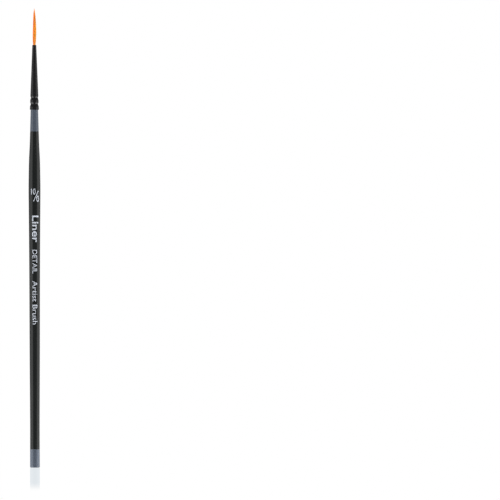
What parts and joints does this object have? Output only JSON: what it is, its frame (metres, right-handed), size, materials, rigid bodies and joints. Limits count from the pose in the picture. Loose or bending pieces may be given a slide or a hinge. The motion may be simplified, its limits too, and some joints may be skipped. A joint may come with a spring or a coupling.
{
  "type": "fine detail brush",
  "caption": "Fine liner brush: a short pointed tuft in a crimped conical ferrule, on a slim tapered handle lacquered black and grey.",
  "frame": {"origin": "centre of the flat butt end of the handle", "axes": "+Z along the handle's axis from the butt through the ferrule to the point of the hair; -Y is the side with the print, +X is to the right of it"},
  "size_m": [0.0048, 0.0048, 0.185],
  "materials": {
    "birch": "turned, sanded, hidden under the lacquer",
    "black_lacquer": "glossy dipped lacquer",
    "grey_lacquer": "glossy dipped lacquer, blue-grey",
    "black_ferrule": "glossy black coat on a seamless drawn tube",
    "glue": "dried wood glue",
    "resin": "cured amber epoxy",
    "thread": "twisted thread",
    "hair": "fine tapered filaments with a satin sheen, golden orange",
    "silver_print": "thin silver-grey print on the lacquer"
  },
  "bodies": {
    "handle": {"handle_core": "birch", "body_lacquer": "black_lacquer", "neck_lacquer": "grey_lacquer", "end_lacquer": "grey_lacquer", "ferrule": "black_ferrule", "tenon_glue": "glue", "resin_plug": "resin", "binding_thread": "thread", "hair_root": "hair"},
    "heel": {"hair_heel": "hair"},
    "lower_belly": {"hair_lower_belly": "hair"},
    "mid_belly": {"hair_mid_belly": "hair"},
    "upper_belly": {"hair_upper_belly": "hair"},
    "shoulder": {"hair_shoulder": "hair"},
    "point": {"hair_point": "hair"}
  },
  "joints": [
    {"name": "heel_bend", "type": "hinge", "parent": "handle", "child": "heel", "pos_m": [0, 0, 0.1708], "axis": [1, 0, 0], "range_deg": [-18, 18], "stiffness_Nm_per_rad": 0.0001},
    {"name": "lower_belly_bend", "type": "hinge", "parent": "heel", "child": "lower_belly", "pos_m": [0, 0, 0.173], "axis": [0, 1, 0], "range_deg": [-18, 18], "stiffness_Nm_per_rad": 0.0001},
    {"name": "mid_belly_bend", "type": "hinge", "parent": "lower_belly", "child": "mid_belly", "pos_m": [0, 0, 0.1752], "axis": [1, 0, 0], "range_deg": [-21.6, 21.6]},
    {"name": "upper_belly_bend", "type": "hinge", "parent": "mid_belly", "child": "upper_belly", "pos_m": [0, 0, 0.1774], "axis": [0, 1, 0], "range_deg": [-21.6, 21.6]},
    {"name": "shoulder_bend", "type": "hinge", "parent": "upper_belly", "child": "shoulder", "pos_m": [0, 0, 0.1796], "axis": [1, 0, 0], "range_deg": [-25.2, 25.2]},
    {"name": "point_bend", "type": "hinge", "parent": "shoulder", "child": "point", "pos_m": [0, 0, 0.1818], "axis": [0, 1, 0], "range_deg": [-25.2, 25.2]}
  ],
  "couplings": [
    {"joint": "mid_belly_bend", "follows": "heel_bend", "ratio": 1.2},
    {"joint": "upper_belly_bend", "follows": "lower_belly_bend", "ratio": 1.2},
    {"joint": "shoulder_bend", "follows": "heel_bend", "ratio": 1.4},
    {"joint": "point_bend", "follows": "lower_belly_bend", "ratio": 1.4}
  ]
}
